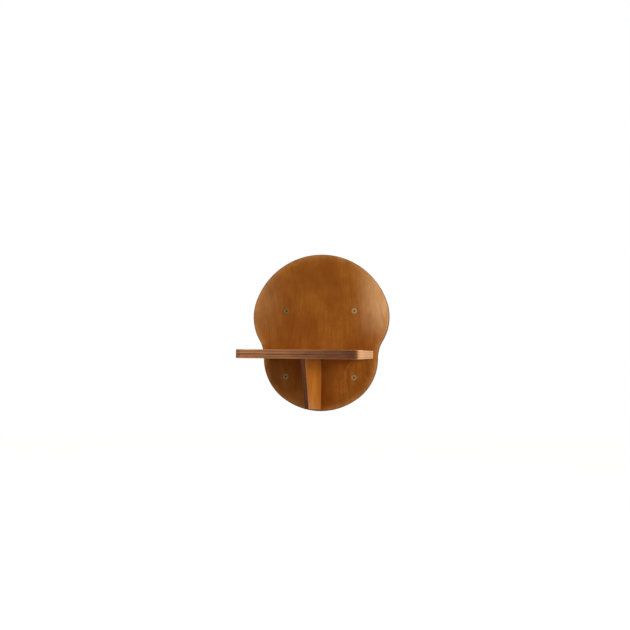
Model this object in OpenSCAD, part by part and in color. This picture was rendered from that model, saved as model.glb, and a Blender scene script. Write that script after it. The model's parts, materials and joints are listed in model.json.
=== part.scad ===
// Wall-mounted cat step: a lobed plywood back panel, a shelf and one thin gusset.
// Millimetres. The wall is the plane y = 0, the step stands out towards -Y, and Z is up.
// The origin is on the wall, at the centre of the four wall fixings.

/* [Back panel] */
// Thickness of the back panel's plywood
panel_t = 12; // [9:0.5:18]
// Width of the panel at its waist, level with the shelf's underside
waist_w = 184; // [176:1:200]
// Radius of the two side arcs of the lower lobe
low_side_r = 80; // [74:1:86]
// Angle, below level, at which the side arcs hand over to the flatter arc of the bottom
low_turn = 53; // [40:1:62]
// Full width of the panel across the two upper lobes
upper_w = 220; // [208:1:240]
// Radius of the two upper lobes
upper_r = 75; // [68:1:82]
// Height of the upper lobes' centres above the shelf's underside
upper_rise = 66; // [60:0.5:74]
// Angle, above level, at which the upper lobes hand over to the flatter arc of the top
top_turn = 19; // [10:1:50]
// Chamfer round the panel's outline, on both faces
panel_edge = 1.2; // [0.4:0.1:2]

/* [Shelf] */
// Width of the shelf, side to side
shelf_w = 170; // [150:1:184]
// Distance that the shelf stands out from the panel's front face
shelf_reach = 181; // [165:1:230]
// Thickness of the shelf's plywood
shelf_t = 12; // [12:0.5:18]
// Radius of the two front corners, seen from above
corner_r = 9; // [4:1:40]
// Chamfer along the shelf's front and side edges
shelf_edge = 0.8; // [0.3:0.1:2]

/* [Gusset] */
// Thickness of the gusset's plywood
gusset_t = 6; // [4:0.5:9]
// Distance that the gusset reaches out under the shelf
gusset_top = 136; // [110:1:155]
// Distance that its lower front corner stands out from the panel
gusset_foot = 104; // [70:1:108]
// Height of the gusset along the panel
gusset_h = 81.5; // [76:0.5:83]
// Height of its front edge, from the shelf down to the lower front corner
gusset_front_h = 72.5; // [50:0.5:76]

/* [Gusset tabs] */
// Length of each of the two tabs that pass into the panel
tab_l = 22; // [14:1:23]
// Distance from the shelf's underside down to the first tab
tab_drop = 10; // [8:0.5:12]
// Distance between the two tabs
tab_gap = 17; // [12:0.5:19]
// Distance that the tabs stop short of the wall
tab_short = 0.3; // [0.2:0.1:1]
// Length of the tab that stands up into the shelf
top_tab_l = 50; // [30:1:64]
// Distance from the panel's front face to that tab
top_tab_from = 46; // [40:1:52]
// Height of that tab
top_tab_h = 6; // [4:0.5:8]
// Clearance between a tab and its slot, on each side
slot_clear = 0.15; // [0.05:0.05:0.3]

/* [Wall screws] */
// Distance between the left and right wall screws
fix_w = 110; // [90:1:124]
// Distance of the lower pair below the shelf's underside
fix_low = 30; // [22:0.5:40]
// Distance of the upper pair above the shelf's underside
fix_high = 75; // [50:0.5:90]
// Thread diameter of a wall screw
wall_screw_d = 4.5; // [3.5:0.1:4.8]
// Length of a wall screw
wall_screw_l = 50; // [46:1:60]
// Head diameter of a wall screw
wall_head_d = 9; // [8:0.1:10]
// Pitch of the wall screw's thread
wall_pitch = 2.2; // [1.6:0.1:2.6]
// Diameter of the panel's clearance hole for a wall screw
wall_hole_d = 5.5; // [5.5:0.1:6.2]

/* [Wall plugs] */
// Diameter of a wall plug
plug_d = 6; // [6:0.1:8]
// Length of a wall plug
plug_l = 30; // [25:1:32]
// Length of the smooth neck at the mouth of a wall plug
plug_neck = 9; // [6:0.5:12]
// Width of the slit that splits a wall plug
plug_slit = 1; // [0.6:0.1:1.4]
// Distance of the plug's mouth below the wall's surface
plug_sunk = 2.5; // [2.2:0.1:4]
// Length of one tooth on a wall plug
tooth_l = 3; // [2:0.5:5]
// Depth of the groove behind a tooth
tooth_h = 0.3; // [0.1:0.05:0.3]

/* [Shelf screws] */
// Distance between neighbouring shelf screws
shelf_screw_gap = 58; // [45:1:64]
// Thread diameter of a shelf screw
shelf_screw_d = 4; // [3:0.1:4.5]
// Length of a shelf screw
shelf_screw_l = 45; // [35:1:50]
// Head diameter of a shelf screw
shelf_head_d = 8; // [6.5:0.1:8.6]
// Pitch of the shelf screw's thread
shelf_pitch = 2; // [1.5:0.1:2.4]

/* [Screw details] */
// Height of the straight rim of a screw head
head_rim = 0.4; // [0.3:0.05:0.6]
// Core under a screw's thread, as a share of the thread's diameter
core_part = 0.6; // [0.5:0.01:0.62]
// Plain shank under a screw's head, as a share of the thread's diameter
shank_part = 0.7; // [0.68:0.01:0.75]
// Length of a screw's pointed tip
tip_l = 5; // [3:0.5:7]
// Width of the cross recess
cross_w = 4.4; // [3:0.1:5]
// Width of one arm of the cross
cross_arm = 0.9; // [0.6:0.05:1.2]
// Depth of the cross recess
cross_deep = 2.2; // [1.5:0.1:2.5]
// Clearance round a screw's head, and round a thread that bites, on each side
screw_clear = 0.1; // [0.05:0.05:0.2]

/* [Hidden] */
$fn = 96;
// Overshoot of a cut past the face that it opens
cut = 1;
// Widest angle between two points of the panel's outline
arc_step = 3;

// Height of the shelf's underside: the origin is midway between the two rows of wall screws
under_z = (fix_low - fix_high) / 2;
// Shelf screws run along the middle of the shelf's thickness
shelf_mid_z = under_z + shelf_t / 2;

// The outline's arcs are tangent where they meet, so the other radii and centres follow
waist_x = waist_w / 2;
low_side_x = waist_x - low_side_r;
low_bottom_y = low_side_x * tan(low_turn);
low_bottom_r = low_side_r + low_side_x / cos(low_turn);
upper_x = upper_w / 2 - upper_r;
top_y = upper_rise - upper_x * tan(top_turn);
top_r = upper_r + upper_x / cos(top_turn);
hollow_r = (pow(waist_x - upper_x, 2) + pow(upper_rise, 2) - pow(upper_r, 2))
    / (2 * (upper_r - waist_x + upper_x));
hollow_x = waist_x + hollow_r;
hollow_turn = atan2(upper_rise, hollow_x - upper_x);

// Points along an arc, at most arc_step degrees apart, from its start up to just before its end
function arc(x, y, r, from, to) =
    let (steps = ceil(abs(to - from) / arc_step))
    [for (i = [0:steps - 1])
        let (a = from + (to - from) * i / steps)
        [x + r * cos(a), y + r * sin(a)]];

// The panel's outline drawn in by a margin: up the right-hand side, then down the left
function right_side(inset) = concat(
    arc(0, low_bottom_y, low_bottom_r - inset, -90, -low_turn),
    arc(low_side_x, 0, low_side_r - inset, -low_turn, 0),
    arc(hollow_x, 0, hollow_r + inset, 180, 180 - hollow_turn),
    arc(upper_x, upper_rise, upper_r - inset, -hollow_turn, top_turn),
    arc(0, top_y, top_r - inset, top_turn, 90)
);
function outline(inset) =
    let (right = right_side(inset))
    concat(
        right,
        [[0, top_y + top_r - inset]],
        [for (i = [len(right) - 1:-1:1]) [-right[i][0], right[i][1]]]
    );

// Wall and shelf screw places, as [x, height]
wall_fixings = [for (x = [-fix_w / 2, fix_w / 2], z = [-1, 1] * (fix_low + fix_high) / 2) [x, z]];
shelf_fixings = [for (i = [-1:1]) [i * shelf_screw_gap, shelf_mid_z]];

// Outline to wall: x stays, the drawing's y becomes height, and depth runs from the wall to the front
module upright() {
    rotate([90, 0, 0]) children();
}

// Seen from the side: the drawing's x runs out from the panel's front face, its y is height
module side_on(thickness) {
    translate([0, -panel_t, under_z])
        rotate([90, 0, -90])
            linear_extrude(thickness, center = true) children();
}

// A slice of a chamfered disc between two angles
module rim_slice(r, from, to, t, edge) {
    rotate([0, 0, from])
        rotate_extrude(angle = to - from)
            polygon([[0, 0], [r - edge, 0], [r, edge], [r, t - edge], [r - edge, t], [0, t]]);
}

// The lobed board lying flat, with a chamfer round the outline of both faces
module panel_board(t, edge) {
    levels = [[edge, 0], [0, edge], [0, t - edge], [edge, t]];
    n = len(outline(0));
    points = [for (level = levels, p = outline(level[0])) [p[0], p[1], level[1]]];
    bottom = [for (i = [0:n - 1]) i];
    top = [for (i = [0:n - 1]) 4 * n - 1 - i];
    sides = [for (k = [0:2], i = [0:n - 1])
        [k * n + i, (k + 1) * n + i, (k + 1) * n + (i + 1) % n, k * n + (i + 1) % n]];
    polyhedron(points, concat([bottom, top], sides));
}

// Through hole in the panel for a countersunk screw whose head lies flush with z = 0
module screw_hole(hole_d, head_d) {
    r = hole_d / 2;
    head_r = head_d / 2 + screw_clear;
    translate([0, 0, -cut]) cylinder(r = r, h = panel_t + 2 * cut);
    translate([0, 0, -cut]) cylinder(r = head_r, h = head_rim + cut);
    translate([0, 0, head_rim]) cylinder(r1 = head_r, r2 = r, h = head_r - r);
}

module cross_recess() {
    intersection() {
        translate([0, 0, -cut])
            cylinder(r1 = cross_w / 2 + cut / 2, r2 = cross_arm / 2, h = cross_deep + cut);
        union() {
            for (turn = [0, 90])
                rotate([0, 0, turn])
                    translate([-cross_w, -cross_arm / 2, -cut])
                        cube([2 * cross_w, cross_arm, cross_deep + 2 * cut]);
        }
    }
}

// Countersunk wood screw along +Z, its head at z = 0 and its shank plain down to z = plain_l.
// The thread below is a row of ridges at its pitch.
module wood_screw(d, length, head_d, pitch, plain_l) {
    r = d / 2;
    core_r = r * core_part;
    shank_r = r * shank_part;
    head_r = head_d / 2;
    ridges = floor((length - tip_l - plain_l) / pitch);
    thread = [for (i = [0:ridges - 1], p = [[0.25, core_r], [0.5, r], [0.75, core_r]])
        [p[1], plain_l + (i + p[0]) * pitch]];
    difference() {
        rotate_extrude()
            polygon(concat(
                [[0, 0], [head_r, 0], [head_r, head_rim], [shank_r, head_rim + head_r - shank_r]],
                [[shank_r, plain_l]],
                thread,
                [[core_r, length - tip_l], [0, length]]
            ));
        cross_recess();
    }
}

// Split nylon plug along +Z, its mouth at z = 0; smooth neck, then teeth that point to the mouth
module wall_plug() {
    r = plug_d / 2;
    teeth = floor((plug_l - plug_neck) / tooth_l);
    saw = [for (i = [0:teeth - 1], p = [[0, 0], [0.6, 0], [1, tooth_h]])
        [r - p[1], plug_neck + (i + p[0]) * tooth_l]];
    difference() {
        rotate_extrude()
            polygon(concat([[0, 0], [r, 0]], saw, [[r - 2 * tooth_h, plug_l], [0, plug_l]]));
        translate([0, 0, -cut])
            cylinder(r = wall_screw_d / 2 + screw_clear, h = plug_l + 2 * cut);
        translate([-r - cut, -plug_slit / 2, plug_neck])
            cube([2 * (r + cut), plug_slit, plug_l]);
    }
}

// The two tabs that pass into the panel, or with a clearance their slots; they end at x = end
module panel_tabs(clear, end) {
    for (z = [-tab_drop - tab_l, -tab_drop - 2 * tab_l - tab_gap])
        translate([end, z - clear])
            square([cut - end, tab_l + 2 * clear]);
}

// The tab that stands up into the shelf, or with a clearance its blind slot
module shelf_tab(clear) {
    translate([top_tab_from - clear, -cut])
        square([top_tab_l + 2 * clear, cut + top_tab_h + clear]);
}

module back_panel() {
    color([0.58, 0.34, 0.16])
        difference() {
            upright() translate([0, under_z, 0]) panel_board(panel_t, panel_edge);
            for (p = wall_fixings)
                translate([p[0], -panel_t, p[1]])
                    rotate([-90, 0, 0]) screw_hole(wall_hole_d, wall_head_d);
            for (p = shelf_fixings)
                translate([p[0], 0, p[1]])
                    rotate([90, 0, 0]) screw_hole(shelf_screw_d + 2 * screw_clear, shelf_head_d);
            side_on(gusset_t + 2 * slot_clear) panel_tabs(slot_clear, -panel_t - cut);
        }
}

// The shelf lying flat, its rear edge along y = 0 and its front edge at y = shelf_reach
module shelf_board() {
    straight = shelf_reach - corner_r;
    translate([0, 0, shelf_t])
        rotate([-90, 0, 0])
            linear_extrude(straight)
                polygon([
                    [shelf_edge - shelf_w / 2, 0], [shelf_w / 2 - shelf_edge, 0],
                    [shelf_w / 2, shelf_edge], [shelf_w / 2, shelf_t - shelf_edge],
                    [shelf_w / 2 - shelf_edge, shelf_t], [shelf_edge - shelf_w / 2, shelf_t],
                    [-shelf_w / 2, shelf_t - shelf_edge], [-shelf_w / 2, shelf_edge]
                ]);
    translate([corner_r - shelf_w / 2, straight, 0])
        rotate([90, 0, 90])
            linear_extrude(shelf_w - 2 * corner_r)
                polygon([
                    [0, 0], [corner_r - shelf_edge, 0], [corner_r, shelf_edge],
                    [corner_r, shelf_t - shelf_edge], [corner_r - shelf_edge, shelf_t], [0, shelf_t]
                ]);
    translate([shelf_w / 2 - corner_r, straight, 0])
        rim_slice(corner_r, 0, 90, shelf_t, shelf_edge);
    translate([corner_r - shelf_w / 2, straight, 0])
        rim_slice(corner_r, 90, 180, shelf_t, shelf_edge);
}

module shelf() {
    color([0.66, 0.42, 0.24])
        difference() {
            translate([0, -panel_t, under_z])
                rotate([0, 0, 180]) shelf_board();
            for (p = shelf_fixings)
                translate([p[0], 0, p[1]])
                    rotate([90, 0, 0])
                        cylinder(r = shelf_screw_d / 2 + screw_clear, h = shelf_screw_l + cut);
            side_on(gusset_t + 2 * slot_clear) shelf_tab(slot_clear);
        }
}

module gusset() {
    color([0.62, 0.38, 0.18])
        union() {
            side_on(gusset_t)
                polygon([[0, 0], [gusset_top, 0], [gusset_foot, -gusset_front_h], [0, -gusset_h]]);
            side_on(gusset_t) panel_tabs(0, tab_short - panel_t);
            side_on(gusset_t) shelf_tab(0);
        }
}

// Their plain shanks end where the panel does, so the thread pulls on the shelf alone
module shelf_screws() {
    color([0.78, 0.74, 0.62])
        for (p = shelf_fixings)
            translate([p[0], 0, p[1]])
                rotate([90, 0, 0])
                    wood_screw(shelf_screw_d, shelf_screw_l, shelf_head_d, shelf_pitch, panel_t);
}

// Their plain shanks end between the wall's surface and the plugs
module wall_screws() {
    plain_l = panel_t + plug_sunk / 2;
    color([0.72, 0.62, 0.38])
        for (p = wall_fixings)
            translate([p[0], -panel_t, p[1]])
                rotate([-90, 0, 0])
                    wood_screw(wall_screw_d, wall_screw_l, wall_head_d, wall_pitch, plain_l);
}

module wall_plugs() {
    color([0.82, 0.82, 0.8])
        for (p = wall_fixings)
            translate([p[0], plug_sunk, p[1]])
                rotate([-90, 0, 0]) wall_plug();
}

back_panel();
shelf();
gusset();
shelf_screws();
wall_screws();
wall_plugs();
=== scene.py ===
import json
import math

import bmesh
import bpy
from mathutils import Matrix, Vector

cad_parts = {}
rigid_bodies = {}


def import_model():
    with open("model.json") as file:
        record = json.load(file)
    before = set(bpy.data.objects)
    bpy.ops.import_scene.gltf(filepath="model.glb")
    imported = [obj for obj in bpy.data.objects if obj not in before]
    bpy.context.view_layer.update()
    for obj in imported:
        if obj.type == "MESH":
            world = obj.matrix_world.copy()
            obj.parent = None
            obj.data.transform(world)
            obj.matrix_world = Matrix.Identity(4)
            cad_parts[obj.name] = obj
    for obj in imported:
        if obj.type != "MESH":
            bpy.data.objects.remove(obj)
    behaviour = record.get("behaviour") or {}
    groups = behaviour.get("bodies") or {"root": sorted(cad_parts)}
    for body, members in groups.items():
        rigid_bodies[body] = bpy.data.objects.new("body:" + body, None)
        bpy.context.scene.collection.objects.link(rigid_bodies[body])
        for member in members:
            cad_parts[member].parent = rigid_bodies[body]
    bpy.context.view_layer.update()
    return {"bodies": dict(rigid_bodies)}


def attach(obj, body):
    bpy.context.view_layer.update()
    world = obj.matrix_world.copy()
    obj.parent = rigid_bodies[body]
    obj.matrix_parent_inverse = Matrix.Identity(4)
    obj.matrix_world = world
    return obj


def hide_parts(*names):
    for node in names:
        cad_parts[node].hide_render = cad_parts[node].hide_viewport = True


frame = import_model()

MM = 0.001
X, Y, Z = 0, 1, 2
BODY = next(iter(frame["bodies"]))
scene = bpy.context.scene

# Sizes of the boards, in millimetres and degrees, as in the CAD source
PANEL_T = 12.0
WAIST_W = 184.0
LOW_SIDE_R = 80.0
LOW_TURN = 53.0
UPPER_W = 220.0
UPPER_R = 75.0
UPPER_RISE = 66.0
TOP_TURN = 19.0
PANEL_EDGE = 1.2
SHELF_W = 170.0
SHELF_REACH = 181.0
SHELF_T = 12.0
CORNER_R = 9.0
SHELF_EDGE = 0.8
GUSSET_T = 6.0
GUSSET_TOP = 136.0
GUSSET_FOOT = 104.0
GUSSET_H = 81.5
GUSSET_FRONT_H = 72.5
TAB_L = 22.0
TAB_DROP = 10.0
TAB_GAP = 17.0
TAB_SHORT = 0.3
TOP_TAB_L = 50.0
TOP_TAB_FROM = 46.0
TOP_TAB_H = 6.0
SLOT_CLEAR = 0.15
# The gusset's open edges are sharp in the CAD source, and rounded by this much here
GUSSET_EDGE = 0.45

# Sizes of the screws and plugs, in millimetres, with a screw's core and shank as parts of its diameter
FIX_W = 110.0
FIX_LOW = 30.0
FIX_HIGH = 75.0
WALL_SCREW = dict(d=4.5, length=50.0, head=9.0, pitch=2.2, plain=13.25)
SHELF_SCREW = dict(d=4.0, length=45.0, head=8.0, pitch=2.0, plain=12.0)
PLUG = dict(d=6.0, length=30.0, neck=9.0, slit=1.0, sunk=2.5, tooth_l=3.0, tooth_h=0.36)
# The plug's chamfered mouth, the slope from its neck, half a tooth's step, the part of a tooth that is
# full width, and the wall left at its end
MOUTH = 0.25
NECK_SLOPE = 1.2
TOOTH_STEP = 0.03
TOOTH_FULL = 0.45
END_WALL = 0.12
WALL_HOLE_D = 5.5
SHELF_HOLE_D = 4.2
SHELF_SCREW_GAP = 58.0
HEAD_RIM = 0.4
CORE_PART = 0.6
SHANK_PART = 0.7
TIP_L = 5.0
SCREW_CLEAR = 0.1
BORE_SPARE = 1.0

# A screw's soft corners as steps of radius and depth: at the head's face from the head's radius, at its
# rim from that radius and the rim's depth, and under the head from the shank's radius and the cone's end
FACE_CORNER = ((-0.16, 0), (-0.05, 0.04), (0, 0.14))
RIM_CORNER = ((0, -0.05), (-0.05, 0.05))
SHANK_CORNER = ((0.5, -0.5), (0.14, -0.1), (0, 0.35))
# Length over which the shank narrows to the core
SHANK_END = 0.25

# Angles at which the screws' recesses came to rest, in degrees
WALL_TURNS = (22, 71, 8, 50)
SHELF_TURNS = (12, 63, 37)

# The cross recess as rows of depth below the head's face, reach of an arm and half its width
RECESS = ((-0.5, 2.35, 0.56), (0.0, 2.1, 0.52), (1.2, 1.35, 0.46), (2.0, 0.75, 0.36), (2.2, 0.4, 0.25))
# An inner corner of the cross lies this many half widths out
RECESS_CORNER = 1.18
# A struck tick between two arms: its ends from the middle, its sides and its depth
TICK = ((1.25, 2.35), (-0.13, 0.13), (-0.3, 0.16))
# Rows of the thread's surface, as parts of a pitch, and those of them that lie on the crest
THREAD_PHASES = (0.0, 0.26, 0.47, 0.53, 0.74)
CREST_ROWS = (2, 3)
# The thread starts this far past the shank, and keeps at least this far off the tip
THREAD_START = 0.05
THREAD_FREE = 0.5
# Its core gets no thinner than this radius before the tip
LEAST_CORE_R = 0.03
# Its crest starts to rise after this many turns and rises over this many
RUN_IN = (0.55, 0.8)
# Along the tip the crest's height is the taper times the first of these, plus the second
CREST_AT_TIP = (1.15, 0.06)

# Fineness of the meshes: degrees between points of an arc, steps round an arris, sides of a round piece
ARC_STEP = 1.5
CORNER_STEP = 3
ARRIS_STEPS = 4
SCREW_SIDES = 48
PLUG_SIDES = 60
HOLE_SIDES = 64
# Edges that turn by more than this many degrees stay sharp
BOARD_SHARP = 40
SCREW_SHARP = 32
PLUG_SHARP = 30
# How far large faces outweigh small ones in the normals, where 50 is neutral
FACE_WEIGHT = 60
# Insets from the panel's outline over which its rubbed rim fades
RIM_BAND = (4.0, 11.0)
# Overshoot of a cutter past the face that it opens
CUT = 1.0
# A difference smaller than this is a rounding error
TINY = 1e-9

# Places: the origin is on the wall, at the middle of the four wall screws
UNDER_Z = (FIX_LOW - FIX_HIGH) / 2
SHELF_MID_Z = UNDER_Z + SHELF_T / 2
FIX_HALF_H = (FIX_LOW + FIX_HIGH) / 2
SHELF_FRONT_Y = -PANEL_T - SHELF_REACH
WALL_PLACES = [(x, z) for x in (-FIX_W / 2, FIX_W / 2) for z in (-FIX_HALF_H, FIX_HALF_H)]
SHELF_PLACES = [(i * SHELF_SCREW_GAP, SHELF_MID_Z) for i in (-1, 0, 1)]


# Outlines of the boards


def arc(x, y, r, start, end, step=ARC_STEP):
    """Points of an arc from start towards end, in degrees, without its last point."""
    steps = max(1, math.ceil(abs(end - start) / step - TINY))
    angles = [math.radians(start + (end - start) * i / steps) for i in range(steps)]
    return [(x + r * math.cos(a), y + r * math.sin(a)) for a in angles]


def panel_outline(inset):
    """Seen from the front, with y the height over the shelf's underside."""
    waist_x = WAIST_W / 2
    low_x = waist_x - LOW_SIDE_R
    low_y = low_x * math.tan(math.radians(LOW_TURN))
    low_r = LOW_SIDE_R + low_x / math.cos(math.radians(LOW_TURN))
    up_x = UPPER_W / 2 - UPPER_R
    top_y = UPPER_RISE - up_x * math.tan(math.radians(TOP_TURN))
    top_r = UPPER_R + up_x / math.cos(math.radians(TOP_TURN))
    hollow_r = ((waist_x - up_x) ** 2 + UPPER_RISE**2 - UPPER_R**2) / (2 * (UPPER_R - waist_x + up_x))
    hollow_x = waist_x + hollow_r
    turn = math.degrees(math.atan2(UPPER_RISE, hollow_x - up_x))
    right = (
        arc(0, low_y, low_r - inset, -90, -LOW_TURN)
        + arc(low_x, 0, LOW_SIDE_R - inset, -LOW_TURN, 0)
        + arc(hollow_x, 0, hollow_r + inset, 180, 180 - turn)
        + arc(up_x, UPPER_RISE, UPPER_R - inset, -turn, TOP_TURN)
        + arc(0, top_y, top_r - inset, TOP_TURN, 90)
    )
    return right + [(0, top_y + top_r - inset)] + [(-x, y) for x, y in reversed(right[1:])]


def shelf_outline(inset):
    """Seen from above, with y the distance from the panel's front face. The rear edge keeps its place."""
    half = SHELF_W / 2
    straight = SHELF_REACH - CORNER_R
    return (
        [(-half + inset, 0), (half - inset, 0)]
        + arc(half - CORNER_R, straight, CORNER_R - inset, 0, 90, CORNER_STEP)
        + [(half - CORNER_R, SHELF_REACH - inset)]
        + arc(CORNER_R - half, straight, CORNER_R - inset, 90, 180, CORNER_STEP)
        + [(-half + inset, straight)]
    )


# Places of the drawings, each from its own millimetres to metres in the frame


def as_drawn(x, y, z):
    """A drawing in the frame's own directions, from the frame's own origin."""
    return (x * MM, y * MM, z * MM)


def to_wall(x, y, z):
    """A drawing on the panel: y is the height over the shelf's underside, z the depth out from the wall."""
    return (x * MM, -z * MM, (y + UNDER_Z) * MM)


def to_shelf(x, y, z):
    """A drawing on the shelf's underside: y is the distance from the panel's front face, z the height."""
    return (x * MM, (-PANEL_T - y) * MM, (UNDER_Z + z) * MM)


def from_front(cx, cz):
    """Something round that starts at the panel's front face and points into the wall."""
    return lambda x, y, z: ((cx - x) * MM, (z - PANEL_T) * MM, (cz + y) * MM)


def from_wall(cx, cz):
    """Something round that starts at the wall and points out of it."""
    return lambda x, y, z: ((cx + x) * MM, -z * MM, (cz + y) * MM)


def turned(place, degrees):
    """The same place for something that is first turned about its own axis."""
    c, s = math.cos(math.radians(degrees)), math.sin(math.radians(degrees))
    return lambda x, y, z: place(x * c - y * s, x * s + y * c, z)


# Mesh building


def mesh_object(name, bm):
    bmesh.ops.recalc_face_normals(bm, faces=bm.faces[:])
    mesh = bpy.data.meshes.new(name)
    bm.to_mesh(mesh)
    bm.free()
    obj = bpy.data.objects.new(name, mesh)
    scene.collection.objects.link(obj)
    return obj


def join(bm, low, high):
    """Faces between two rings of points. Either ring may be a single point."""
    count = max(len(low), len(high))
    for i in range(count):
        j = (i + 1) % count
        if len(low) == 1:
            bm.faces.new((low[0], high[j], high[i]))
        elif len(high) == 1:
            bm.faces.new((low[i], low[j], high[0]))
        else:
            bm.faces.new((low[i], low[j], high[j], high[i]))


def stack(bm, rings):
    """A closed solid of rings, capped at both ends."""
    bm.faces.new(rings[0])
    bm.faces.new(rings[-1])
    for low, high in zip(rings, rings[1:]):
        join(bm, low, high)


def board(name, outline, thickness, edge, place, band=()):
    """A flat board from z = 0 to its thickness, with a rounded arris along its outline.
    The attribute rim is 1 at the outline and fades over the insets in band, which get rings of their own."""
    levels = [(inset, 0.0) for inset in reversed(band)]
    for k in range(ARRIS_STEPS + 1):
        a = math.radians(90 * k / ARRIS_STEPS)
        levels.append((edge * (1 - math.sin(a)), edge * (1 - math.cos(a))))
    levels += [(inset, thickness - z) for inset, z in reversed(levels)]
    bm = bmesh.new()
    rim = bm.verts.layers.float.new("rim")
    rings = []
    for inset, z in levels:
        ring = [bm.verts.new(place(x, y, z)) for x, y in outline(inset)]
        fade = (band[-1] - inset) / (band[-1] - edge) if band else 1.0
        for v in ring:
            v[rim] = max(0.0, min(1.0, fade))
        rings.append(ring)
    stack(bm, rings)
    return mesh_object(name, bm)


def lathe(name, profile, place, sides, hollow=False):
    """A solid of revolution. The profile is (radius, distance along the axis) from one end of the axis to
    the other. A hollow one has a closed profile that keeps off the axis."""
    bm = bmesh.new()
    rings = []
    for r, z in profile:
        angles = [2 * math.pi * i / sides for i in range(sides if r > TINY else 1)]
        rings.append([bm.verts.new(place(r * math.cos(a), r * math.sin(a), z)) for a in angles])
    for low, high in zip(rings, rings[1:] + (rings[:1] if hollow else [])):
        join(bm, low, high)
    return mesh_object(name, bm)


def box(name, xs, ys, zs, place=as_drawn):
    """A box between two values along each axis."""
    bm = bmesh.new()
    v = [bm.verts.new(place(x, y, z)) for x in xs for y in ys for z in zs]
    for f in ((0, 1, 3, 2), (4, 6, 7, 5), (0, 4, 5, 1), (2, 3, 7, 6), (0, 2, 6, 4), (1, 5, 7, 3)):
        bm.faces.new([v[i] for i in f])
    return mesh_object(name, bm)


def evaluated(obj):
    """Replaces the object's mesh by the one its modifiers give."""
    graph = bpy.context.evaluated_depsgraph_get()
    mesh = bpy.data.meshes.new_from_object(obj.evaluated_get(graph), depsgraph=graph)
    obj.modifiers.clear()
    obj.data = mesh


def cut(obj, cutters):
    """Takes each cutter's solid out of the object and removes the cutters."""
    for c in cutters:
        m = obj.modifiers.new("cut", "BOOLEAN")
        m.operation, m.object, m.solver = "DIFFERENCE", c, "EXACT"
    bpy.context.view_layer.update()
    evaluated(obj)
    for c in cutters:
        bpy.data.objects.remove(c)


def shade(obj, angle):
    """Smooth over rounded edges, flat on the flats. Edges sharper than the angle, in degrees, stay sharp."""
    mesh = obj.data
    mesh.polygons.foreach_set("use_smooth", [True] * len(mesh.polygons))
    mesh.set_sharp_from_angle(angle=math.radians(angle))
    m = obj.modifiers.new("normals", "WEIGHTED_NORMAL")
    m.keep_sharp = True
    m.weight = FACE_WEIGHT
    evaluated(obj)


def piece(obj, material, node):
    obj.data.materials.clear()
    obj.data.materials.append(material)
    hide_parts(node)
    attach(obj, BODY)


# Shader node helpers


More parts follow.
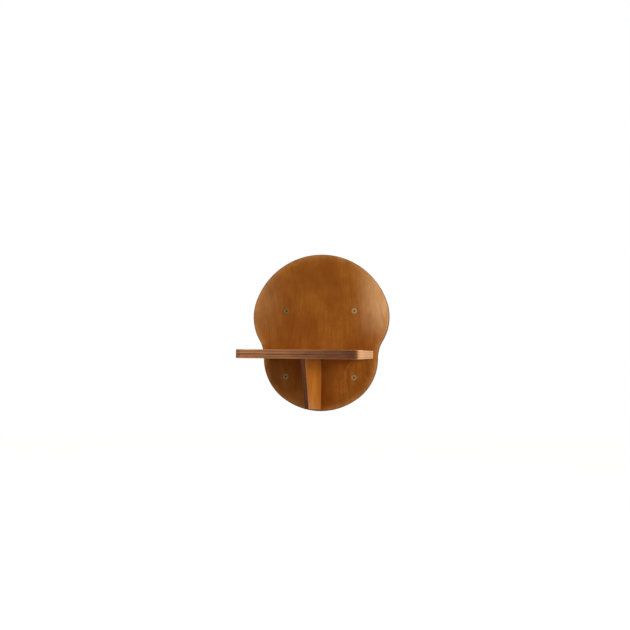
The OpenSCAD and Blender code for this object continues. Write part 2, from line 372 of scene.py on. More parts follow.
class Tree:
    """Short names for the nodes of one material."""

    def __init__(self, name):
        self.material = bpy.data.materials.new(name)
        self.material.use_nodes = True
        self.nodes = self.material.node_tree.nodes
        self.links = self.material.node_tree.links
        self.nodes.clear()
        self.out = self.nodes.new("ShaderNodeOutputMaterial")
        self.shader = self.nodes.new("ShaderNodeBsdfPrincipled")
        self.links.new(self.shader.outputs["BSDF"], self.out.inputs["Surface"])

    def feed(self, socket, value):
        if isinstance(value, bpy.types.NodeSocket):
            self.links.new(value, socket)
        elif isinstance(value, (tuple, list)) and len(value) == 3 and socket.type == "RGBA":
            socket.default_value = (*value, 1)
        else:
            socket.default_value = value

    def set(self, **values):
        for key, value in values.items():
            self.feed(self.shader.inputs[key.replace("_", " ")], value)

    def math(self, op, a, b=0.0, c=0.0):
        n = self.nodes.new("ShaderNodeMath")
        n.operation = op
        for s, v in zip(n.inputs, (a, b, c)):
            self.feed(s, v)
        return n.outputs[0]

    def add(self, a, b):
        return self.math("ADD", a, b)

    def sub(self, a, b):
        return self.math("SUBTRACT", a, b)

    def mul(self, *values):
        product = values[0]
        for value in values[1:]:
            product = self.math("MULTIPLY", product, value)
        return product

    def mul_add(self, a, b, c):
        return self.math("MULTIPLY_ADD", a, b, c)

    def largest(self, *values):
        most = values[0]
        for value in values[1:]:
            most = self.math("MAXIMUM", most, value)
        return most

    def absolute(self, value):
        return self.math("ABSOLUTE", value)

    def span(self, value, a, b, c=0.0, d=1.0, smooth=False):
        """Goes from c to d as the value goes from a to b, and stays there beyond."""
        n = self.nodes.new("ShaderNodeMapRange")
        n.interpolation_type = "SMOOTHSTEP" if smooth else "LINEAR"
        n.clamp = True
        for s, v in zip(n.inputs, (value, a, b, c, d)):
            self.feed(s, v)
        return n.outputs[0]

    def ramp(self, place, a, b, c=0.0, d=1.0):
        """A span over a place in metres, with a and b in millimetres."""
        return self.span(place, a * MM, b * MM, c, d)

    def fade(self, place, a, b, c=0.0, d=1.0):
        """A smooth span over a place in metres, with a and b in millimetres."""
        return self.span(place, a * MM, b * MM, c, d, smooth=True)

    def mix(self, factor, a, b, blend="MIX"):
        n = self.nodes.new("ShaderNodeMix")
        n.data_type, n.blend_type = "RGBA", blend
        n.clamp_factor = True
        self.feed(n.inputs[0], factor)
        self.feed(n.inputs[6], a)
        self.feed(n.inputs[7], b)
        return n.outputs[2]

    def coords(self):
        """The place on the object, as one vector and as three values, in metres."""
        t = self.nodes.new("ShaderNodeTexCoord")
        s = self.nodes.new("ShaderNodeSeparateXYZ")
        self.links.new(t.outputs["Object"], s.inputs[0])
        return t.outputs["Object"], s.outputs

    def normal(self):
        t = self.nodes.new("ShaderNodeTexCoord")
        s = self.nodes.new("ShaderNodeSeparateXYZ")
        self.links.new(t.outputs["Normal"], s.inputs[0])
        return s.outputs

    def attribute(self, name):
        n = self.nodes.new("ShaderNodeAttribute")
        n.attribute_name = name
        return n.outputs["Fac"]

    def scaled(self, place, scales, shift=0.0):
        """A vector for a noise: the three values of a place times their scales, moved by the shift."""
        n = self.nodes.new("ShaderNodeCombineXYZ")
        shifts = (shift, shift * 0.7, 0.0)
        for s, value, scale, move in zip(n.inputs, place, scales, shifts):
            self.feed(s, self.mul_add(value, scale, move))
        return n.outputs[0]

    def noise(self, vector, detail=2.0, rough=0.5, distort=0.0, scale=1.0):
        n = self.nodes.new("ShaderNodeTexNoise")
        n.inputs["Scale"].default_value = scale
        n.inputs["Detail"].default_value = detail
        n.inputs["Roughness"].default_value = rough
        n.inputs["Distortion"].default_value = distort
        self.links.new(vector, n.inputs["Vector"])
        return n.outputs["Fac"]

    def bump(self, height, strength, distance):
        n = self.nodes.new("ShaderNodeBump")
        n.inputs["Strength"].default_value = strength
        n.inputs["Distance"].default_value = distance
        self.links.new(height, n.inputs["Height"])
        self.links.new(n.outputs[0], self.shader.inputs["Normal"])


# Plywood. The scales of its noises are features to a metre along the grain, across it and through the board.

BLOTCH = (9, 14, 9)
CLOUD = (26, 34, 26)
FIGURE = (3.2, 13, 3)
FIGURE_STRENGTH = (2.4, 8, 3)
FIBRE = (22, 820, 60)
PORE = (130, 2300, 200)
PLY_WAVE = (60, 60, 60)
PLY_GRAIN = (75, 75, 1900)
PLY_SPECK = (1500, 1500, 1500)
PLY_CLOUD = (11, 11, 11)

# How closely the figure's lines follow each other, broad and fine
FIGURE_LINES = 62.0
FINE_LINES = 190.0
# Range over which the plies wander across the edge, in metres
PLY_WANDER = 0.0007
# A glue line takes what lies further than this from a ply's middle, as a part of the ply
GLUE_FROM = 0.455

# Stained veneer: pale, deep and grain line
BOARD_FACE = ((0.47, 0.165, 0.020), (0.31, 0.087, 0.006), (0.19, 0.044, 0.003))
GUSSET_FACE = ((0.37, 0.130, 0.016), (0.29, 0.090, 0.008), (0.20, 0.055, 0.005))
# Cut edge: long grain, end grain and glue line
PANEL_PLIES = ((0.19, 0.073, 0.026), (0.14, 0.052, 0.018), (0.06, 0.021, 0.008))
SHELF_PLIES = ((0.70, 0.40, 0.195), (0.56, 0.29, 0.13), (0.24, 0.10, 0.038))
GUSSET_PLIES = ((0.19, 0.070, 0.026), (0.15, 0.053, 0.020), (0.06, 0.022, 0.009))


def veneer(t, place, seed, face):
    """Stain blotches, the contour figure of rotary-cut veneer, fibres and pores.
    Gives the colour, the clouds, the pores and the relief."""
    pale, deep, dark = face
    blotch = t.noise(t.scaled(place, BLOTCH, seed), 3.0, 0.55, 0.6)
    cloud = t.noise(t.scaled(place, CLOUD, seed + 3))
    tone = t.span(t.add(t.mul(blotch, 0.62), t.mul(cloud, 0.38)), 0.36, 0.64, smooth=True)
    colour = t.mix(tone, deep, pale)

    field = t.noise(t.scaled(place, FIGURE, seed + 7), 1.5, 0.45, 0.25)
    grow = t.noise(t.scaled(place, FIGURE_STRENGTH, seed + 9), 1.0)
    line = t.span(t.math("SINE", t.mul(field, FIGURE_LINES)), 0.2, 1.0, smooth=True)
    fine_line = t.span(t.math("SINE", t.mul(field, FINE_LINES)), 0.3, 1.0, smooth=True)
    colour = t.mix(t.mul(line, t.span(grow, 0.35, 0.65, 0.06, 0.24)), colour, dark)
    colour = t.mix(t.mul(fine_line, t.span(grow, 0.4, 0.65, 0.04, 0.18)), colour, dark)

    fibre = t.noise(t.scaled(place, FIBRE, seed + 11), 3.0, 0.6)
    pores = t.span(t.noise(t.scaled(place, PORE, seed + 17), 1.0), 0.64, 0.74)
    colour = t.mix(t.span(fibre, 0.42, 0.70, 0.0, 0.30), colour, dark)
    colour = t.mix(t.mul(pores, 0.42), colour, dark)
    relief = t.add(t.sub(t.mul(fibre, 0.6), t.mul(pores, 0.5)), t.mul(line, 0.25))
    return colour, cloud, pores, relief


def cut_plies(t, place, seed, edge, low, high, plies):
    """Plies across the thickness, long grain and end grain by turns, with their glue lines.
    Gives the colour and the relief."""
    long_grain, end_grain, dark = edge
    wave = t.noise(t.scaled(place, PLY_WAVE, seed + 23))
    across = t.add(place[2], t.mul(t.sub(wave, 0.5), PLY_WANDER))
    depth = t.ramp(across, low, high, 0.0, float(plies))
    index = t.math("FLOOR", depth)
    odd = t.math("MODULO", index, 2.0)
    chance = t.nodes.new("ShaderNodeTexWhiteNoise")
    chance.noise_dimensions = "1D"
    t.feed(chance.inputs["W"], t.add(index, seed))
    ply = t.mix(odd, long_grain, end_grain)
    ply = t.mix(t.mul(chance.outputs["Value"], 0.35), ply, dark)

    along = t.noise(t.scaled(place, PLY_GRAIN, seed + 29), 3.0, 0.6)
    ply = t.mix(t.span(along, 0.45, 0.75, 0.0, 0.4), ply, dark)
    speck = t.noise(t.scaled(place, PLY_SPECK, seed + 31), 2.0, 0.6)
    ply = t.mix(t.mul(t.span(speck, 0.5, 0.75), t.mul_add(odd, 0.35, 0.08)), ply, dark)
    glue = t.math("GREATER_THAN", t.absolute(t.sub(t.math("FRACT", depth), 0.5)), GLUE_FROM)
    ply = t.mix(t.mul(glue, 0.55), ply, dark)
    slow = t.noise(t.scaled(place, PLY_CLOUD, seed + 37))
    ply = t.mix(t.span(slow, 0.42, 0.62, 0.0, 0.35), ply, dark)
    return ply, t.sub(t.mul(along, 0.9), t.mul(glue, 0.5))


def plywood(name, thick, grain, low, high, plies, face, edge, seed, face_colouring, edge_colouring=None):
    """Stained plywood. thick and grain are axes, low and high the board's faces in millimetres.
    Each colouring takes the tree, the coordinates and a colour, and returns a changed colour, with stains,
    wear and, on some boards, painted light and shade."""
    t = Tree(name)
    _, xyz = t.coords()
    place = (xyz[grain], xyz[X + Y + Z - thick - grain], xyz[thick])
    colour, cloud, pores, relief = veneer(t, place, seed, face)
    colour = face_colouring(t, xyz, colour)
    ply, saw_marks = cut_plies(t, place, seed, edge, low, high, plies)
    if edge_colouring:
        ply = edge_colouring(t, xyz, ply)

    on_face = t.span(t.absolute(t.normal()[thick]), 0.88, 0.992, smooth=True)
    rough = t.add(t.span(cloud, 0.3, 0.7, 0.40, 0.54), t.mul(pores, 0.12))
    t.set(
        Base_Color=t.mix(on_face, ply, colour),
        Roughness=t.add(rough, t.mul_add(on_face, -0.12, 0.12)),
        Specular_IOR_Level=0.10,
    )
    t.bump(t.add(t.mul(relief, on_face), t.mul(saw_marks, t.sub(1.0, on_face))), 0.35, 0.00012)
    return t.material


# Stain, wear and painted light and shade of the three boards. ramp and fade take their ends in millimetres,
# all else is in metres.

MOTTLED = (0.25, 0.068, 0.006)
# Painted shade: the panel's colour along the gusset, beside the shelf and in the gusset's shadow on the left
PAINTED_SHADE_COLOUR = (0.13, 0.034, 0.003)
# Painted light: the upper lobes paler, most on the right
UPPER_LIGHT = (0.93, 0.52, 0.235)
# Painted light: the lower left of the panel paler
LOW_LEFT_LIGHT = (0.60, 0.24, 0.055)
STREAK = (0.66, 0.30, 0.075)
PANEL_RUB = (0.72, 0.345, 0.11)
SHELF_RUB = (0.66, 0.31, 0.075)
# Painted light: the shelf's front face made brighter and warmer than its sides
FRONT_WARMTH = (1.38, 1.16, 1.06)
DARK_PLY = (0.15, 0.052, 0.030)
# Painted shade: the shelf's front face darker towards its right-hand end
DARK_END = (0.135, 0.048, 0.022)
# Painted shade: the gusset's faces darker towards the panel
GUSSET_DEEP = (0.25, 0.076, 0.007)
GUSSET_RUB = (0.52, 0.215, 0.052)
# Painted light: the gusset's front edge paler near the shelf
GUSSET_EDGE_TOP = (0.36, 0.17, 0.085)

# Scales of the noises of the stains, wear and painted light and shade, in features to a metre along X, Y and
# Z
MOTTLE = (88, 0, 72)
UPPER_LIGHT_PATCH = (120, 0, 30)
STREAK_BREAKS = (210, 0, 90)
PANEL_WEAR = (38, 0, 38)
SHELF_WEAR = (45, 45, 0)
DARK_PLY_WAVE = (30, 0, 0)
DARK_PLY_STREAK = (55, 0, 900)
DARK_END_WANDER = (42, 0, 300)
GUSSET_WEAR = (0, 46, 46)

# The curved streak: the height where its bend starts, the bend's rate and lean, and its foot from the middle
CURVE_FROM_Z = -0.050
CURVE_RATE = 45.0
CURVE_LEAN = 0.0095
CURVE_X = 0.041
# The short streak: its lean and its distance left of the middle at the origin's height
SHORT_LEAN = 0.12
SHORT_X = 0.0665
# The dark ply's height, and the range over which it wanders
DARK_PLY_Z = -0.0169
DARK_PLY_RANGE = 0.0016
# The line from which the rub on the gusset's faces fades: its place along Y at the origin's height, its slant
GUSSET_RUB_Y = -0.1575
GUSSET_RUB_SLANT = -0.4414


def under_shelf(t, z):
    """1 below the shelf and 0 above its underside."""
    return t.ramp(z, UNDER_Z - 1, UNDER_Z + 1, 1.0, 0.0)


def panel_painted_shade(t, x, z):
    """Painted shade on the panel: darker in the crease along the gusset, in a band beside the shelf and in
    the gusset's shadow left of it.
    """
    out = t.absolute(x)
    crease = t.fade(out, GUSSET_T / 2, 9.5, 0.74, 0.0)
    wide = t.mul(
        t.fade(out, GUSSET_T / 2, 36, 0.62, 0.0),
        t.fade(z, -94, -60, 0.34, 1.0),
        t.ramp(x, -4, 4, 0.40, 1.0),
        t.fade(z, -36, -25, 1.0, 0.35),
    )
    by_gusset = t.mul(t.largest(crease, wide), under_shelf(t, z))
    off_shelf = t.absolute(t.sub(z, SHELF_MID_Z * MM))
    by_shelf = t.mul(
        t.fade(off_shelf, SHELF_T / 2, 13, 0.06, 0.0),
        t.ramp(out, SHELF_W / 2 - 1, SHELF_W / 2 + 2, 1.0, 0.0),
    )
    # Painted shadow of the gusset over the panel's left
    at_left = t.mul(
        t.fade(x, -94, -78),
        t.fade(x, -64, -42, 0.44, 0.06),
        t.ramp(x, -4, 0, 1.0, 0.0),
        t.fade(z, -84, -60),
        under_shelf(t, z),
    )
    return t.largest(by_gusset, by_shelf, at_left)


def streaks(t, xyz):
    """A pale curved streak right of the gusset and a short one by the left screw, both broken up."""
    x, z = xyz[X], xyz[Z]
    rise = t.largest(t.mul(t.sub(z, CURVE_FROM_Z), CURVE_RATE), 0.0)
    off_curve = t.absolute(t.sub(x, t.mul_add(t.mul(rise, rise), CURVE_LEAN, CURVE_X)))
    curved = t.mul(t.fade(off_curve, 0, 3.4, 0.34, 0.0), t.fade(z, -86, -46))
    off_line = t.absolute(t.add(x, t.mul_add(z, SHORT_LEAN, SHORT_X)))
    short = t.mul(t.fade(off_line, 0, 7.5, 0.24, 0.0), t.fade(z, -88, -60))
    broken = t.noise(t.scaled(xyz, STREAK_BREAKS), 3.0, 0.6)
    return t.mul(
        t.largest(curved, short),
        t.fade(z, -34, UNDER_Z, 1.0, 0.0),
        t.span(broken, 0.36, 0.6, 0.35, 1.0),
    )


def panel_stain_light_and_shade(t, xyz, colour):
    """Mottled, with painted shade along the gusset, beside the shelf and left of the gusset, painted light on
    the upper lobes, most on the right, and on the lower left, pale streaks, and rubbed along the outline.
    """
    x, z = xyz[X], xyz[Z]
    front = t.span(t.normal()[Y], -0.5, 0.5, 1.0, 0.0)
    mottle = t.noise(t.scaled(xyz, MOTTLE), 3.0, 0.62, 0.4)
    colour = t.mix(t.span(mottle, 0.36, 0.64, 0.0, 0.34), colour, MOTTLED)
    # Painted shade along the gusset, beside the shelf and left of the gusset
    colour = t.mix(t.mul(panel_painted_shade(t, x, z), front), colour, PAINTED_SHADE_COLOUR)

    # Painted light: the upper lobes paler towards their outer edges and tops, most on the right
    patch = t.noise(t.scaled(xyz, UPPER_LIGHT_PATCH), 4.0, 0.66)
    upper_light = t.mul(
        t.fade(t.absolute(x), 48, 108, 0.0, 0.95),
        t.fade(z, -8, 66),
        t.ramp(x, -50, 50, 0.25, 1.0),
        t.span(patch, 0.34, 0.62, 0.6, 1.0),
    )
    colour = t.mix(upper_light, colour, UPPER_LIGHT)
    # Painted light: the panel paler low on the left
    low_left_light = t.mul(t.fade(z, -94, -68, 0.34, 0.0), t.ramp(x, -22, -10, 1.0, 0.0))
    colour = t.mix(t.mul(low_left_light, front), colour, LOW_LEFT_LIGHT)
    colour = t.mix(t.mul(streaks(t, xyz), front), colour, STREAK)

    rub = t.noise(t.scaled(xyz, PANEL_WEAR), 3.0, 0.6)
    rim = t.math("POWER", t.attribute("rim"), 1.4)
    return t.mix(t.mul(rim, t.span(rub, 0.38, 0.62, 0.14, 0.55)), colour, PANEL_RUB)


def shelf_stain(t, xyz, colour):
    """The finish on the shelf's faces is rubbed paler along the front and side edges."""
    by_side = t.sub(SHELF_W / 2 * MM, t.absolute(xyz[X]))
    by_front = t.sub(xyz[Y], SHELF_FRONT_Y * MM)
    near = t.fade(t.math("MINIMUM", by_side, by_front), 0.5, 9, 1.0, 0.0)
    rub = t.noise(t.scaled(xyz, SHELF_WEAR), 3.0, 0.6)
    return t.mix(t.mul(near, t.span(rub, 0.38, 0.64, 0.1, 0.5)), colour, SHELF_RUB)


def shelf_edge_plies_light_and_shade(t, xyz, colour):
    """The front edge is painted brighter and warmer than the pale sides, has a dark middle ply,
    and has painted shade that darkens it towards its right-hand end."""
    x, z = xyz[X], xyz[Z]
    front = t.span(t.absolute(t.normal()[Y]), 0.55, 0.97, smooth=True)
    # Painted light: the front face brighter and warmer than the sides
    colour = t.mix(front, colour, FRONT_WARMTH, "MULTIPLY")
    wave = t.noise(t.scaled(xyz, DARK_PLY_WAVE))
    off_middle = t.absolute(t.add(t.sub(z, DARK_PLY_Z), t.mul(t.sub(wave, 0.5), DARK_PLY_RANGE)))
    streak = t.noise(t.scaled(xyz, DARK_PLY_STREAK))
    dark_ply = t.mul(t.ramp(off_middle, 0.5, 1.1, 1.0, 0.0), front, t.span(streak, 0.34, 0.6, 0.3, 0.85))
    colour = t.mix(dark_ply, colour, DARK_PLY)
    # Painted shade: the front face darker towards its right-hand end
    run = t.ramp(x, -SHELF_W / 2, 70, -0.05, 0.93)
    wander = t.noise(t.scaled(xyz, DARK_END_WANDER))
    return t.mix(t.mul(t.add(run, t.mul_add(wander, 0.7, -0.35)), front), colour, DARK_END)


def gusset_shade_and_rub(t, xyz, colour):
    """The faces have painted shade that darkens them towards the panel, and are rubbed paler towards their
    upper front corner.
    """
    y, z = xyz[Y], xyz[Z]
    # Painted shade: the faces darker towards the panel
    colour = t.mix(t.fade(y, -85, -14, 0.0, 0.52), colour, GUSSET_DEEP)
    from_line = t.add(t.sub(y, GUSSET_RUB_Y), t.mul(z, GUSSET_RUB_SLANT))
    cloud = t.noise(t.scaled(xyz, GUSSET_WEAR), 3.0, 0.6)
    rubbed = t.mul(t.fade(from_line, 0, 60, 1.0, 0.0), t.span(cloud, 0.36, 0.62, 0.16, 0.50))
    return t.mix(rubbed, colour, GUSSET_RUB)


def gusset_edge_painted_light(t, xyz, colour):
    """Painted light: the front edge a little paler near the shelf, where the shelf's shade falls."""
    return t.mix(t.ramp(xyz[Z], -58, -26, 0.0, 0.30), colour, GUSSET_EDGE_TOP)


# Metal and nylon. The scales of the noises are features to a metre.

METAL_PATCH = 900.0
METAL_MARKS = (5200, 5200, 5200)
NYLON_FINE = 2600.0
NYLON_CLOUD = 160.0

BRASS = (0.42, 0.265, 0.125)
BRASS_DULL = (0.24, 0.145, 0.06)
# Painted shade: the colour of the screws on the left, in the gusset's shadow
BRASS_LEFT_SHADE = (0.085, 0.055, 0.018)
ZINC = (0.66, 0.66, 0.65)
ZINC_DULL = (0.42, 0.42, 0.42)
NYLON_PALE = (0.72, 0.72, 0.69)
NYLON_DEEP = (0.62, 0.62, 0.6)


def plated(name, colour, dark, seed, rough, left_shade=None):
    """Zinc-plated or passivated screw steel, with drawn marks and dull patches.
    left_shade, when given, is painted shade: the colour that the screws on the left, in the gusset's shadow,
    are darkened towards."""
    t = Tree(name)
    vector, xyz = t.coords()
    patch = t.noise(vector, 3.0, 0.6, scale=METAL_PATCH)
    fine = t.noise(t.scaled((xyz[X], xyz[Z], xyz[Y]), METAL_MARKS, seed))
    tone = t.mix(t.span(patch, 0.35, 0.7, 0.0, 0.8), colour, dark)
    if left_shade:
        # Painted shade: the screws left of the middle darkened
        tone = t.mix(t.ramp(xyz[X], -20, 20, 0.72, 0.0), tone, left_shade)
    dullness = t.add(t.span(patch, 0.3, 0.7, rough, rough + 0.16), t.mul(fine, 0.08))
    t.set(Base_Color=tone, Metallic=1.0, Roughness=dullness)
    t.bump(t.add(fine, t.mul(patch, 0.6)), 0.2, 0.00003)
    return t.material


def nylon(name, pale, deep):
    t = Tree(name)
    vector, _ = t.coords()
    fine = t.noise(vector, 3.0, 0.6, scale=NYLON_FINE)
    cloud = t.noise(vector, scale=NYLON_CLOUD)
    t.set(
        Base_Color=t.mix(t.span(cloud, 0.35, 0.65), deep, pale),
        Roughness=t.span(fine, 0.3, 0.7, 0.42, 0.56),
        Subsurface_Weight=0.15,
        Subsurface_Scale=0.002,
        Subsurface_Radius=(1.0, 0.9, 0.8),
    )
    t.bump(fine, 0.15, 0.00004)
    return t.material


# The materials

panel_mat = plywood("panel_ply", Y, Z, -PANEL_T, 0.0, 7, BOARD_FACE, PANEL_PLIES, 2.0, panel_stain_light_and_shade)
shelf_mat = plywood(
    "shelf_ply", Z, X, UNDER_Z, UNDER_Z + SHELF_T, 7,
    BOARD_FACE, SHELF_PLIES, 5.0, shelf_stain, shelf_edge_plies_light_and_shade,
)
gusset_mat = plywood(
    "gusset_ply", X, Z, -GUSSET_T / 2, GUSSET_T / 2, 5,
    GUSSET_FACE, GUSSET_PLIES, 9.0, gusset_shade_and_rub, gusset_edge_painted_light,
)
brass_mat = plated("brass_zinc", BRASS, BRASS_DULL, 1.0, 0.42, BRASS_LEFT_SHADE)
zinc_mat = plated("zinc_steel", ZINC, ZINC_DULL, 4.0, 0.3)
nylon_mat = nylon("nylon", NYLON_PALE, NYLON_DEEP)


# The three boards


def countersunk(hole_d, head_d, place):
    """Cutter for a hole through the panel, with its countersink at the start."""
    r, head_r = hole_d / 2, head_d / 2 + SCREW_CLEAR
    end = PANEL_T + CUT
    profile = [(0, -CUT), (head_r, -CUT), (head_r, HEAD_RIM), (r, HEAD_RIM + head_r - r), (r, end), (0, end)]
    return lathe("cutter", profile, place, HOLE_SIDES)


def panel_mesh():
    obj = board("panel_board", panel_outline, PANEL_T, PANEL_EDGE, to_wall, RIM_BAND)
    cutters = [countersunk(WALL_HOLE_D, WALL_SCREW["head"], from_front(*p)) for p in WALL_PLACES]
    cutters += [countersunk(SHELF_HOLE_D, SHELF_SCREW["head"], from_wall(*p)) for p in SHELF_PLACES]
    half = GUSSET_T / 2 + SLOT_CLEAR
    for k in (0, 1):
        top = UNDER_Z - TAB_DROP - k * (TAB_L + TAB_GAP) + SLOT_CLEAR
        heights = (top - TAB_L - 2 * SLOT_CLEAR, top)
        cutters.append(box("cutter", (-half, half), (-PANEL_T - CUT, CUT), heights))
    cut(obj, cutters)
    return obj


def shelf_mesh():
    obj = board("shelf_board", shelf_outline, SHELF_T, SHELF_EDGE, to_shelf)
    r = SHELF_SCREW["d"] / 2 + SCREW_CLEAR
    depth = SHELF_SCREW["length"] + BORE_SPARE
    bore = [(0, 0), (r, 0), (r, depth), (0, depth)]
    cutters = [lathe("cutter", bore, from_wall(*p), SCREW_SIDES) for p in SHELF_PLACES]
    half = GUSSET_T / 2 + SLOT_CLEAR
    rear = -PANEL_T - TOP_TAB_FROM + SLOT_CLEAR
    slot_y = (rear - TOP_TAB_L - 2 * SLOT_CLEAR, rear)
    cutters.append(box("cutter", (-half, half), slot_y, (UNDER_Z - CUT, UNDER_Z + TOP_TAB_H + SLOT_CLEAR)))
    cut(obj, cutters)
    return obj


def gusset_mesh():
    """The web with its three tabs. Only the open front and lower edges have an arris."""
    low1 = -TAB_DROP
    low2 = -TAB_DROP - TAB_L - TAB_GAP
    tab_end = TAB_SHORT - PANEL_T
    tab_to = TOP_TAB_FROM + TOP_TAB_L
    points = [
        (0, 0), (TOP_TAB_FROM, 0), (TOP_TAB_FROM, TOP_TAB_H), (tab_to, TOP_TAB_H), (tab_to, 0),
        (GUSSET_TOP, 0), (GUSSET_FOOT, -GUSSET_FRONT_H), (0, -GUSSET_H),
        (0, low2 - TAB_L), (tab_end, low2 - TAB_L), (tab_end, low2), (0, low2),
        (0, low1 - TAB_L), (tab_end, low1 - TAB_L), (tab_end, low1), (0, low1),
    ]
    top_corner = points.index((GUSSET_TOP, 0))
    foot = top_corner + 1
    bm = bmesh.new()
    sides = []
    for x in (-GUSSET_T / 2, GUSSET_T / 2):
        sides.append([bm.verts.new(to_shelf(x, a, b)) for a, b in points])
        bm.faces.new(sides[-1])
    join(bm, *sides)
    bm.edges.ensure_lookup_table()
    soft = [bm.edges.get((s[i], s[i + 1])) for s in sides for i in (top_corner, foot)]
    soft.append(bm.edges.get((sides[0][foot], sides[1][foot])))
    bmesh.ops.bevel(bm, geom=soft, offset=GUSSET_EDGE * MM, segments=3, profile=0.5, affect="EDGES")
    return mesh_object("gusset_board", bm)


for make, slot, material, node in (
    (panel_mesh, "panel_ply", panel_mat, "back_panel"),
    (shelf_mesh, "shelf_ply", shelf_mat, "shelf"),
    (gusset_mesh, "gusset_ply", gusset_mat, "gusset"),
):
    obj = make()
    shade(obj, BOARD_SHARP)
    piece(obj, material, node)


# Screws and wall plugs


def cross_cutter(place):
    """A cross-shaped drive recess that tapers to its floor."""
    bm = bmesh.new()
    rings = []
    for z, arm, half_w in RECESS:
        corner = half_w * RECESS_CORNER
        points = ((arm, -half_w), (arm, half_w), (corner, corner))
        ring = []
        for quarter in range(4):
            spot = turned(place, 90 * quarter)
            ring += [bm.verts.new(spot(x, y, z)) for x, y in points]
        rings.append(ring)
    stack(bm, rings)
    return mesh_object("cutter", bm)


def threaded_rod(name, profile, spec, place):
    """A solid of revolution, its profile (radius, distance) starting at the head's face, that runs on into
    a thread. The thread is one helical surface, rows of core and crest that climb a pitch a turn, and ends
    in a point. Its first column is a turn longer than the rest, because that is where the turns meet."""
    per_turn = len(THREAD_PHASES)
    core, crest = spec["d"] / 2 * CORE_PART, spec["d"] / 2
    start = profile[-1][1] + THREAD_START
    turns = int((spec["length"] - THREAD_FREE - start) / spec["pitch"]) - 1
    rows = per_turn * turns
    bm = bmesh.new()

    def vert(r, k, z):
        a = 2 * math.pi * k / SCREW_SIDES
        return bm.verts.new(place(r * math.cos(a), r * math.sin(a), z))

    def thread_vert(k, j):
        z = start + spec["pitch"] * (j // per_turn + THREAD_PHASES[j % per_turn] + k / SCREW_SIDES)
        taper = max(0.0, min(1.0, (spec["length"] - z) / TIP_L))
        r = max(core * taper, LEAST_CORE_R)
        if j % per_turn in CREST_ROWS:
            ease = max(0.0, min(1.0, ((z - start) / spec["pitch"] - RUN_IN[0]) / RUN_IN[1]))
            r += (crest - core) * ease * min(1.0, taper * CREST_AT_TIP[0] + CREST_AT_TIP[1])
        return vert(min(r, crest), k, z)

    rings = [[vert(r, k, z) for k in range(SCREW_SIDES)] for r, z in profile]
    bm.faces.new(rings[0])
    for low, high in zip(rings, rings[1:]):
        join(bm, low, high)
    lengths = [rows + 1 + per_turn] + [rows + 1] * (SCREW_SIDES - 1)
    columns = [[thread_vert(k, j) for j in range(length)] for k, length in enumerate(lengths)]
    columns.append(columns[0][per_turn:])
    tip = vert(0, 0, spec["length"])
    neck = rings[-1]
    for k in range(SCREW_SIDES):
        near, far = columns[k], columns[k + 1]
        for j in range(rows):
            bm.faces.new((near[j], far[j], far[j + 1], near[j + 1]))
        seam_start = columns[0][:per_turn] if k + 1 == SCREW_SIDES else []
        seam_end = columns[0][:rows:-1] if k == 0 else []
        bm.faces.new([near[0], neck[k], neck[(k + 1) % SCREW_SIDES]] + seam_start + [far[0]])
        bm.faces.new([near[rows], far[rows], tip] + seam_end)
    return mesh_object(name, bm)


def detailed_screw(name, spec, place, turn):
    """Countersunk wood screw with a cross recess, a plain shank and a helical thread.
    Its head's top is at z = 0."""
    core, shank = spec["d"] / 2 * CORE_PART, spec["d"] / 2 * SHANK_PART
    head = spec["head"] / 2
    under = HEAD_RIM + head - shank
    profile = [(head + r, z) for r, z in FACE_CORNER]
    profile += [(head + r, HEAD_RIM + z) for r, z in RIM_CORNER]
    profile += [(shank + r, under + z) for r, z in SHANK_CORNER]
    profile += [(shank, spec["plain"]), (core, spec["plain"] + SHANK_END)]
    spot = turned(place, turn)
    obj = threaded_rod(name, profile, spec, spot)
    ticks = [box("cutter", *TICK, turned(spot, 45 + 90 * k)) for k in range(4)]
    cut(obj, [cross_cutter(spot)] + ticks)
    shade(obj, SCREW_SHARP)
    return obj


def detailed_plug(name, cx, cz):
    """Nylon plug: a smooth neck with a chamfered mouth, then barbs that point to the mouth.
    A slit splits the barbed part."""
    r, bore = PLUG["d"] / 2, WALL_SCREW["d"] / 2 + SCREW_CLEAR
    groove = r - PLUG["tooth_h"]
    neck, length, tooth_l = PLUG["neck"], PLUG["length"], PLUG["tooth_l"]
    profile = [(r - MOUTH, 0), (r, MOUTH), (r, neck - NECK_SLOPE), (groove, neck - TOOTH_STEP)]
    for i in range(int((length - neck) / tooth_l)):
        z = neck + i * tooth_l
        profile += [(r, z + TOOTH_STEP), (r, z + TOOTH_FULL * tooth_l), (groove, z + tooth_l - TOOTH_STEP)]
    profile += [(bore + END_WALL, length), (bore, length), (bore, 0)]
    place = from_wall(cx, cz)
    obj = lathe(name, profile, lambda x, y, z: place(x, y, -z - PLUG["sunk"]), PLUG_SIDES, hollow=True)
    side, slit = r + CUT, PLUG["slit"] / 2
    depths = (PLUG["sunk"] + neck, PLUG["sunk"] + length + CUT)
    cut(obj, [box("cutter", (cx - side, cx + side), depths, (cz - slit, cz + slit))])
    shade(obj, PLUG_SHARP)
    return obj


for letter, spot, turn in zip("abcd", WALL_PLACES, WALL_TURNS):
    screw = detailed_screw("wall_screw_" + letter, WALL_SCREW, from_front(*spot), turn)
    piece(screw, brass_mat, "wall_screws")
for letter, spot, turn in zip("abc", SHELF_PLACES, SHELF_TURNS):
    screw = detailed_screw("shelf_screw_" + letter, SHELF_SCREW, from_wall(*spot), turn)
    piece(screw, zinc_mat, "shelf_screws")
for letter, spot in zip("abcd", WALL_PLACES):
    piece(detailed_plug("wall_plug_" + letter, *spot), nylon_mat, "wall_plugs")


# Floor, world and lights, in metres

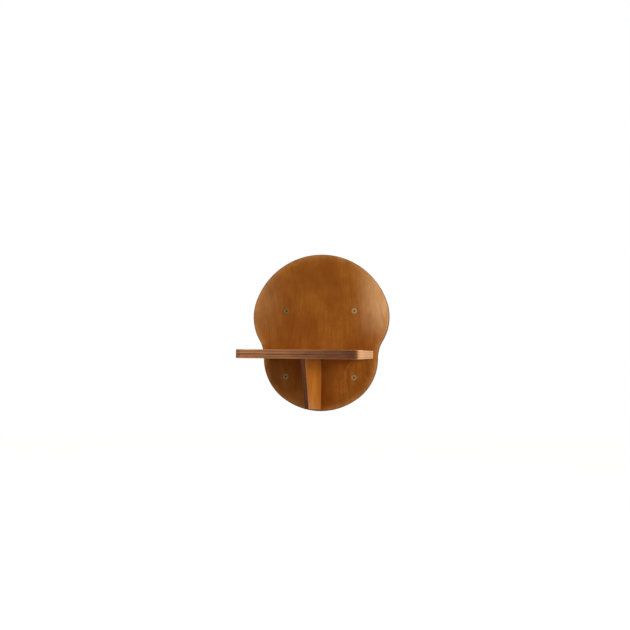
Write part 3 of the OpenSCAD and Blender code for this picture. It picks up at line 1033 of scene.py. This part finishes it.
FLOOR_Z = -1.2
FLOOR_R = 9.0
FLOOR_SIDES = 96
FLOOR_COLOUR = (0.8, 0.8, 0.79)
FLOOR_GLOW = 0.86
WORLD_COLOUR = (1.0, 0.985, 0.97)
WORLD_STRENGTH = 0.17
WHITE = (1.0, 1.0, 1.0)


def seen_directly(nodes, links):
    """1 for camera, glossy and transmission rays, and 0 for the light that falls on the object."""
    path = nodes.new("ShaderNodeLightPath")
    value = path.outputs["Is Camera Ray"]
    for ray in ("Is Glossy Ray", "Is Transmission Ray"):
        either = nodes.new("ShaderNodeMath")
        either.operation = "MAXIMUM"
        links.new(value, either.inputs[0])
        links.new(path.outputs[ray], either.inputs[1])
        value = either.outputs[0]
    return value


def pale_stage(name):
    """White to the camera and in reflections, a plain pale diffuse surface to everything else."""
    mat = bpy.data.materials.new(name)
    mat.use_nodes = True
    nodes, links = mat.node_tree.nodes, mat.node_tree.links
    nodes.clear()
    out = nodes.new("ShaderNodeOutputMaterial")
    diffuse = nodes.new("ShaderNodeBsdfDiffuse")
    diffuse.inputs["Color"].default_value = (*FLOOR_COLOUR, 1)
    glow = nodes.new("ShaderNodeEmission")
    glow.inputs["Color"].default_value = (*WHITE, 1)
    glow.inputs["Strength"].default_value = FLOOR_GLOW
    both = nodes.new("ShaderNodeAddShader")
    mix = nodes.new("ShaderNodeMixShader")
    links.new(diffuse.outputs[0], both.inputs[0])
    links.new(glow.outputs[0], both.inputs[1])
    links.new(seen_directly(nodes, links), mix.inputs["Fac"])
    links.new(diffuse.outputs[0], mix.inputs[1])
    links.new(both.outputs[0], mix.inputs[2])
    links.new(mix.outputs[0], out.inputs["Surface"])
    return mat


def studio_world():
    """Plain soft light from all round, and white where it is seen directly."""
    world = bpy.data.worlds.new("studio")
    world.use_nodes = True
    nodes, links = world.node_tree.nodes, world.node_tree.links
    nodes.clear()
    out = nodes.new("ShaderNodeOutputWorld")
    mix = nodes.new("ShaderNodeMixShader")
    links.new(seen_directly(nodes, links), mix.inputs["Fac"])
    for socket, colour, strength in ((1, WORLD_COLOUR, WORLD_STRENGTH), (2, WHITE, 1.0)):
        background = nodes.new("ShaderNodeBackground")
        background.inputs["Color"].default_value = (*colour, 1)
        background.inputs["Strength"].default_value = strength
        links.new(background.outputs[0], mix.inputs[socket])
    links.new(mix.outputs[0], out.inputs["Surface"])
    return world


def area(name, where, target, size, watts, colour):
    data = bpy.data.lights.new(name, "AREA")
    data.shape = "DISK"
    data.size = size
    data.energy = watts
    data.color = colour
    obj = bpy.data.objects.new(name, data)
    scene.collection.objects.link(obj)
    obj.location = where
    obj.rotation_mode = "QUATERNION"
    obj.rotation_quaternion = (Vector(target) - Vector(where)).to_track_quat("-Z", "Y")


bm = bmesh.new()
bmesh.ops.create_circle(bm, cap_ends=True, radius=FLOOR_R, segments=FLOOR_SIDES)
floor = mesh_object("floor", bm)
floor.location = (0, 0, FLOOR_Z)
floor.data.materials.append(pale_stage("floor_pale"))
scene.world = studio_world()

# Each light's name, place, target, width, power in watts and colour
area("key", (1.75, -0.50, 0.24), (0.0, -0.08, -0.03), 0.8, 35.0, (1.0, 0.985, 0.96))
area("fill", (-1.0, -1.6, 0.75), (0.0, -0.1, -0.03), 1.2, 3.8, (1.0, 0.99, 0.98))
area("top", (0.35, -0.55, 1.7), (0.0, -0.05, 0.05), 1.0, 14.0, (1.0, 0.99, 0.98))
area("rear", (-0.9, 1.7, 0.8), (0.0, 0.0, 0.0), 1.2, 30.0, (1.0, 0.99, 0.98))


# Camera, placed and turned so that the object's outline falls where the photograph shows it

CAMERA_AT = (0.1796, -1.0383, -0.0157)
YAW, PITCH, ROLL = math.radians(10.37), math.radians(3.395), math.radians(0.526)
# The photograph's width and the lens's focal length in its pixels, then the sensor's width in millimetres
FRAME_PX = 630.0
FOCAL_PX = 653.1
SENSOR = 36.0


def camera_turn():
    """The camera's rotation: yawed to look left of +Y, then pitched up, then rolled."""
    level = Vector((-math.sin(YAW), math.cos(YAW), 0))
    across = Vector((math.cos(YAW), math.sin(YAW), 0))
    upright = Vector((0, 0, 1))
    forward = math.cos(PITCH) * level + math.sin(PITCH) * upright
    pitched_up = math.cos(PITCH) * upright - math.sin(PITCH) * level
    right = math.cos(ROLL) * across + math.sin(ROLL) * pitched_up
    up = math.cos(ROLL) * pitched_up - math.sin(ROLL) * across
    return Matrix((right, up, -forward)).transposed()


cam_data = bpy.data.cameras.new("camera")
cam = bpy.data.objects.new("camera", cam_data)
scene.collection.objects.link(cam)
scene.camera = cam
cam.matrix_world = Matrix.Translation(CAMERA_AT) @ camera_turn().to_4x4()
cam_data.sensor_width = SENSOR
cam_data.lens = FOCAL_PX * SENSOR / FRAME_PX
cam_data.clip_start, cam_data.clip_end = 0.01, 50.0

scene.view_settings.view_transform = "Standard"
